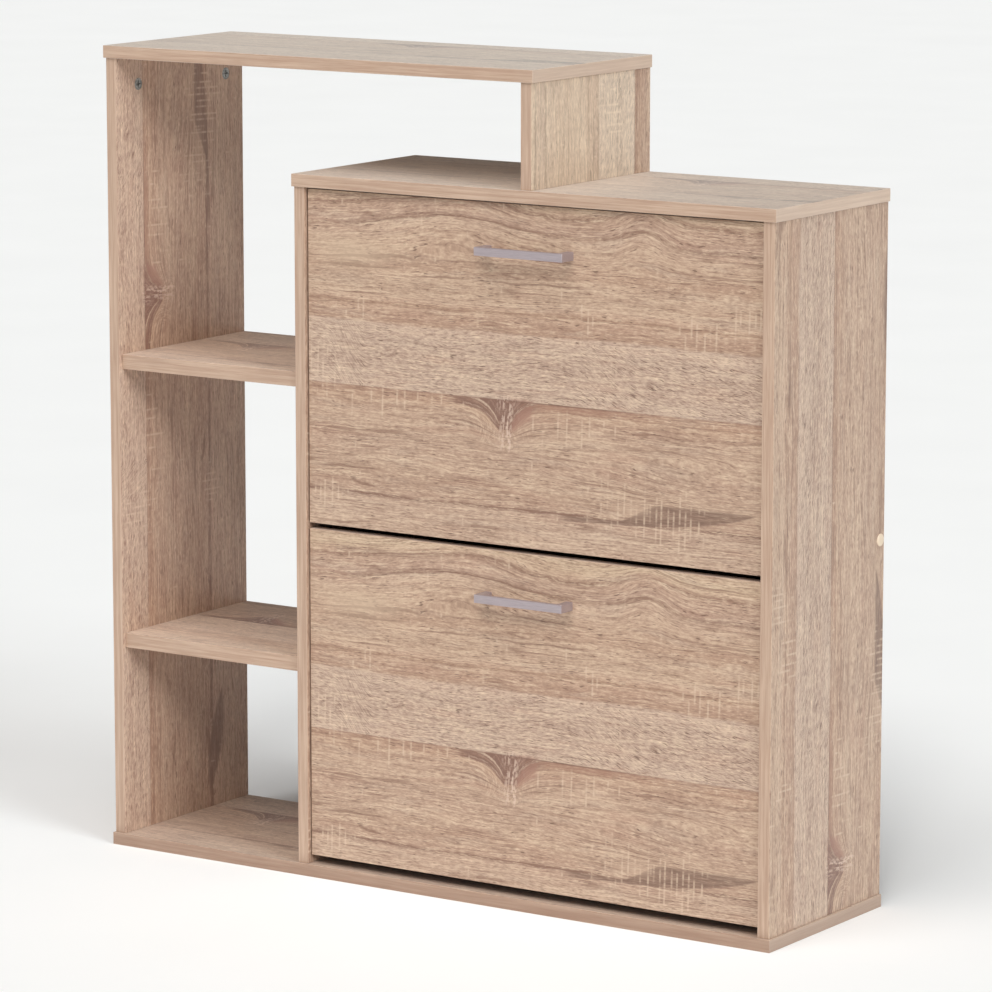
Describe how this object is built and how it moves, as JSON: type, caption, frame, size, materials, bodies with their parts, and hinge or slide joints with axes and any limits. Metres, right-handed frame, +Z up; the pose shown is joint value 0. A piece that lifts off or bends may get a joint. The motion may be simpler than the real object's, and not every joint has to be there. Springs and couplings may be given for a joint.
{
  "type": "shoe cabinet",
  "caption": "Shoe cabinet with an open shelved bay on the left, stacked tilt-out flaps on the right and a raised bridging top.",
  "frame": {"origin": "centre of the base panel's underside, on the floor", "axes": "+X to the right seen from the front, +Y to the rear, +Z up; the flaps face -Y"},
  "size_m": [0.94, 0.2771, 0.984],
  "materials": {
    "oak_decor_board": "matt melamine foil with a pale oak print, on chipboard",
    "hardboard": "raw brown hardboard, smooth on one face",
    "handle_metal": "satin silver",
    "zinc_fittings": "die-cast zinc",
    "steel_fasteners": "bright zinc-plated steel",
    "bracket_plastic": "moulded, lightly textured",
    "bush_plastic": "natural nylon",
    "cap_plastic": "beige moulded",
    "beech_dowel": "raw beech"
  },
  "bodies": {
    "cabinet": {"back_panel_lower": "hardboard", "back_panel_nails": "steel_fasteners", "back_panel_upper": "hardboard", "base_panel": "oak_decor_board", "bay_shelf_lower": "oak_decor_board", "bay_shelf_upper": "oak_decor_board", "cabinet_top": "oak_decor_board", "cam_bolts": "zinc_fittings", "cam_locks": "zinc_fittings", "confirmat_screws": "steel_fasteners", "flap_stops": "bracket_plastic", "left_side_panel": "oak_decor_board", "partition_panel": "oak_decor_board", "pivot_bushes": "bush_plastic", "rear_rail": "oak_decor_board", "right_side_panel": "oak_decor_board", "riser_panel": "oak_decor_board", "screw_caps": "cap_plastic", "stop_pins": "steel_fasteners", "stop_screws": "steel_fasteners", "upper_top": "oak_decor_board", "wood_dowels": "beech_dowel"},
    "lower_flap": {"lower_flap_bracket_screws": "steel_fasteners", "lower_flap_front": "oak_decor_board", "lower_flap_handle": "handle_metal", "lower_flap_handle_screws": "steel_fasteners", "lower_flap_left_bracket": "bracket_plastic", "lower_flap_lower_rack": "hardboard", "lower_flap_pivot_pins": "steel_fasteners", "lower_flap_right_bracket": "bracket_plastic", "lower_flap_upper_rack": "hardboard"},
    "upper_flap": {"upper_flap_bracket_screws": "steel_fasteners", "upper_flap_front": "oak_decor_board", "upper_flap_handle": "handle_metal", "upper_flap_handle_screws": "steel_fasteners", "upper_flap_left_bracket": "bracket_plastic", "upper_flap_lower_rack": "hardboard", "upper_flap_pivot_pins": "steel_fasteners", "upper_flap_right_bracket": "bracket_plastic", "upper_flap_upper_rack": "hardboard"}
  },
  "joints": [
    {"name": "lower_flap_tilt", "type": "hinge", "parent": "cabinet", "child": "lower_flap", "pos_m": [0, -0.1015, 0.066], "axis": [1, 0, 0], "range_deg": [0, 45]},
    {"name": "upper_flap_tilt", "type": "hinge", "parent": "cabinet", "child": "upper_flap", "pos_m": [0, -0.1015, 0.471], "axis": [1, 0, 0], "range_deg": [0, 45]}
  ]
}
